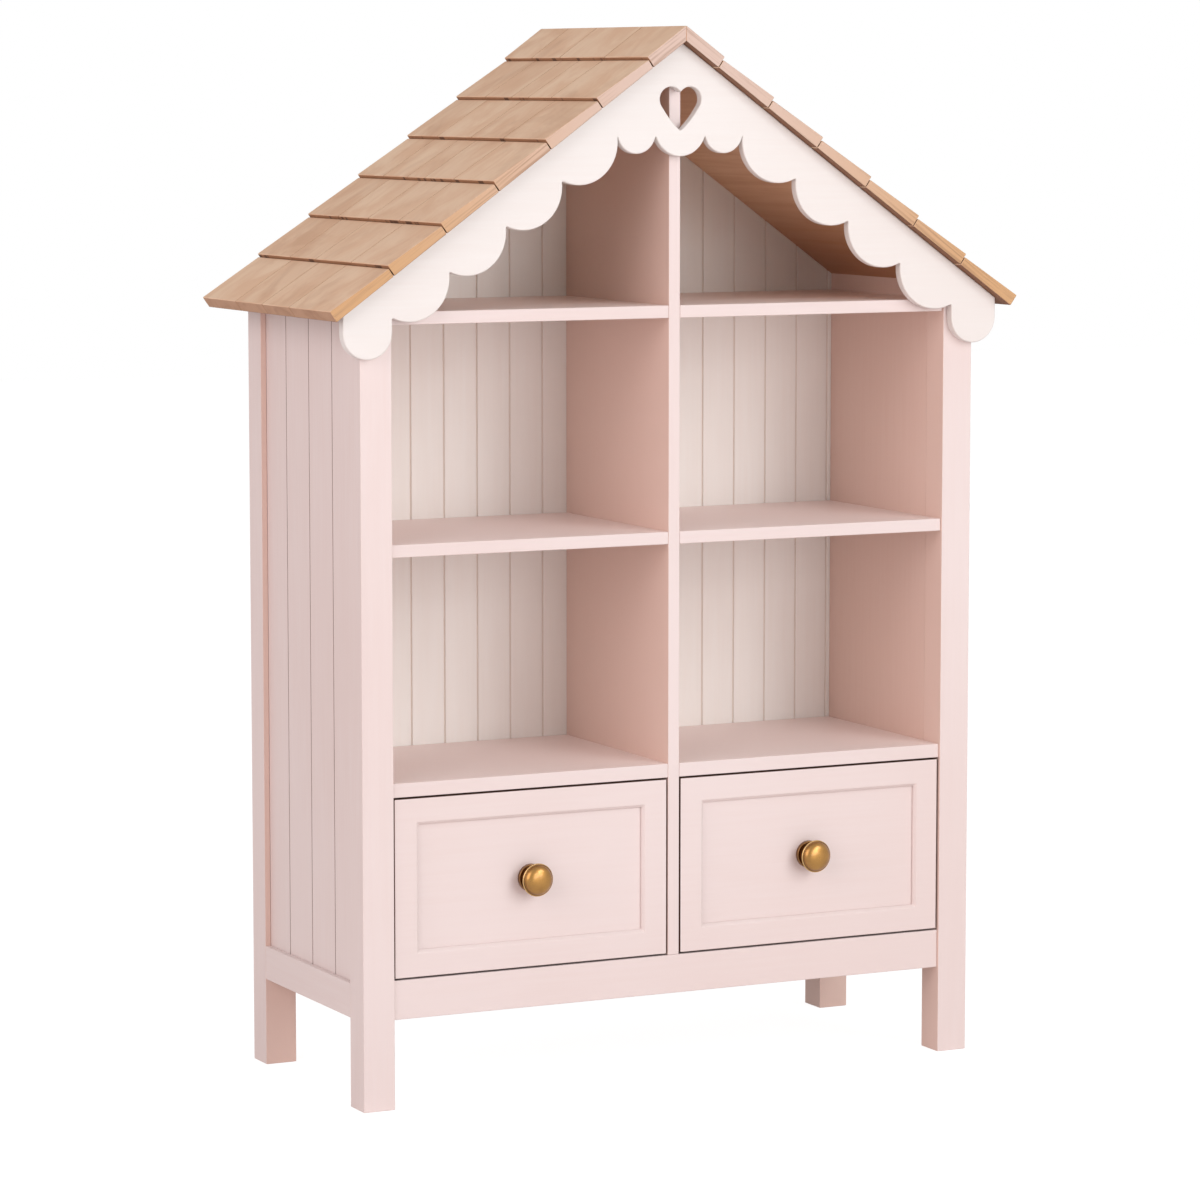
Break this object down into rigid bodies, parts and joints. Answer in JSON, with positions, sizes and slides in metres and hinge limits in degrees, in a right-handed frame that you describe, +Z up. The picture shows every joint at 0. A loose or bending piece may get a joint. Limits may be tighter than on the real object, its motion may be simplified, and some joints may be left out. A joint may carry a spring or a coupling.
{
  "type": "house-shaped bookcase",
  "caption": "Free-standing children's bookcase shaped like a house, with a shingled gable roof, scalloped gable board, beadboard walls, open bays and inset drawers.",
  "frame": {"origin": "on the floor, under the centre of the roof's outline", "axes": "+Z up, +X to the right of a person facing the bookcase, +Y towards its back; the drawers open along -Y"},
  "size_m": [1.029, 0.444, 1.4256],
  "materials": {
    "pink_paint": "satin paint, pale pink",
    "pink_white_paint": "satin paint, pinkish white",
    "white_paint": "satin paint, warm white",
    "shingle_wood": "thin stain over bare wood",
    "roof_boards": "brown stain",
    "bare_wood": "bare planed wood",
    "antique_brass": "aged, satin",
    "screw_steel": "zinc plated"
  },
  "bodies": {
    "cabinet": {"post_front_left": "pink_paint", "post_rear_left": "pink_paint", "side_rail_lower_left": "pink_paint", "side_rail_upper_left": "pink_paint", "side_beadboard_left": "pink_paint", "side_liner_left": "pink_paint", "shelf_lower_left": "pink_paint", "shelf_middle_left": "pink_paint", "shelf_upper_left": "pink_paint", "roof_deck_left": "roof_boards", "shingle_course_1_left": "shingle_wood", "shingle_course_2_left": "shingle_wood", "shingle_course_3_left": "shingle_wood", "shingle_course_4_left": "shingle_wood", "shingle_course_5_left": "shingle_wood", "shingle_course_6_left": "shingle_wood", "shingle_course_7_left": "shingle_wood", "post_front_right": "pink_paint", "post_rear_right": "pink_paint", "side_rail_lower_right": "pink_paint", "side_rail_upper_right": "pink_paint", "side_beadboard_right": "pink_paint", "side_liner_right": "pink_paint", "shelf_lower_right": "pink_paint", "shelf_middle_right": "pink_paint", "shelf_upper_right": "pink_paint", "roof_deck_right": "roof_boards", "shingle_course_1_right": "shingle_wood", "shingle_course_2_right": "shingle_wood", "shingle_course_3_right": "shingle_wood", "shingle_course_4_right": "shingle_wood", "shingle_course_5_right": "shingle_wood", "shingle_course_6_right": "shingle_wood", "shingle_course_7_right": "shingle_wood", "front_apron": "pink_paint", "rear_rail_lower": "pink_paint", "rear_rail_upper": "pink_paint", "bottom_panel": "pink_paint", "back_panel": "white_paint", "centre_divider": "pink_paint", "shelf_dowels": "bare_wood", "gable_board": "pink_white_paint", "drawer_runners": "bare_wood", "drawer_stops": "bare_wood"},
    "drawer_left": {"drawer_left_front_frame": "pink_paint", "drawer_left_front_panel": "pink_paint", "drawer_left_side_inner": "bare_wood", "drawer_left_side_outer": "bare_wood", "drawer_left_back": "bare_wood", "drawer_left_bottom": "bare_wood", "drawer_left_knob": "antique_brass", "drawer_left_knob_screw": "screw_steel"},
    "drawer_right": {"drawer_right_front_frame": "pink_paint", "drawer_right_front_panel": "pink_paint", "drawer_right_side_inner": "bare_wood", "drawer_right_side_outer": "bare_wood", "drawer_right_back": "bare_wood", "drawer_right_bottom": "bare_wood", "drawer_right_knob": "antique_brass", "drawer_right_knob_screw": "screw_steel"}
  },
  "joints": [
    {"name": "drawer_left_slide", "type": "slide", "parent": "cabinet", "child": "drawer_left", "axis": [0, -1, 0], "range_m": [0, 0.2]},
    {"name": "drawer_right_slide", "type": "slide", "parent": "cabinet", "child": "drawer_right", "axis": [0, -1, 0], "range_m": [0, 0.2]}
  ]
}
